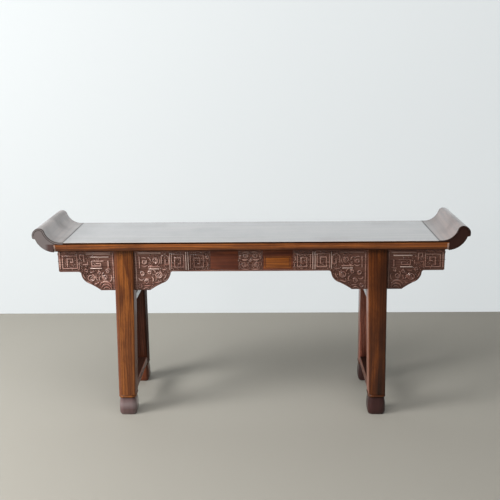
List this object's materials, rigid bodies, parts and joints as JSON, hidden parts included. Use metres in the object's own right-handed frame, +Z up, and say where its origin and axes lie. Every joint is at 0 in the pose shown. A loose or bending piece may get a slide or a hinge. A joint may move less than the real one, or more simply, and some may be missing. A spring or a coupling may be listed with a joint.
{
  "type": "chinese altar table",
  "caption": "Long narrow side table with scrolled, upturned ends, curved carved aprons and splayed square legs on cushion feet.",
  "frame": {"origin": "on the floor under the middle of the table, at the bottom centre of its bounding box", "axes": "+X along the table to the right as seen from the front, +Y from front to back, +Z up"},
  "size_m": [1.9368, 0.4692, 0.885],
  "materials": {
    "panel_wood": "polished dark red-brown lacquer over open grain",
    "rail_wood": "polished dark red-brown lacquer over open grain",
    "end_wood": "polished dark red-brown lacquer over open grain",
    "batten_wood": "polished dark red-brown lacquer over open grain",
    "apron_wood": "polished dark red-brown lacquer over open grain",
    "spandrel_wood": "polished dark red-brown lacquer over open grain",
    "leg_wood": "polished dark red-brown lacquer over open grain",
    "foot_wood": "polished dark red-brown lacquer over open grain",
    "stretcher_wood": "polished dark red-brown lacquer over open grain"
  },
  "bodies": {
    "root": {"top_panel": "panel_wood", "batten_1": "batten_wood", "batten_2": "batten_wood", "batten_3": "batten_wood", "batten_4": "batten_wood", "batten_5": "batten_wood", "front_top_rail": "rail_wood", "front_apron_middle": "apron_wood", "front_left_inner_spandrel": "spandrel_wood", "front_left_outer_spandrel": "spandrel_wood", "front_left_leg": "leg_wood", "front_left_foot": "foot_wood", "front_right_inner_spandrel": "spandrel_wood", "front_right_outer_spandrel": "spandrel_wood", "front_right_leg": "leg_wood", "front_right_foot": "foot_wood", "back_top_rail": "rail_wood", "back_apron_middle": "apron_wood", "back_left_inner_spandrel": "spandrel_wood", "back_left_outer_spandrel": "spandrel_wood", "back_left_leg": "leg_wood", "back_left_foot": "foot_wood", "back_right_inner_spandrel": "spandrel_wood", "back_right_outer_spandrel": "spandrel_wood", "back_right_leg": "leg_wood", "back_right_foot": "foot_wood", "left_everted_end": "end_wood", "left_end_apron": "apron_wood", "left_upper_stretcher": "stretcher_wood", "left_lower_stretcher": "stretcher_wood", "right_everted_end": "end_wood", "right_end_apron": "apron_wood", "right_upper_stretcher": "stretcher_wood", "right_lower_stretcher": "stretcher_wood"}
  },
  "joints": []
}
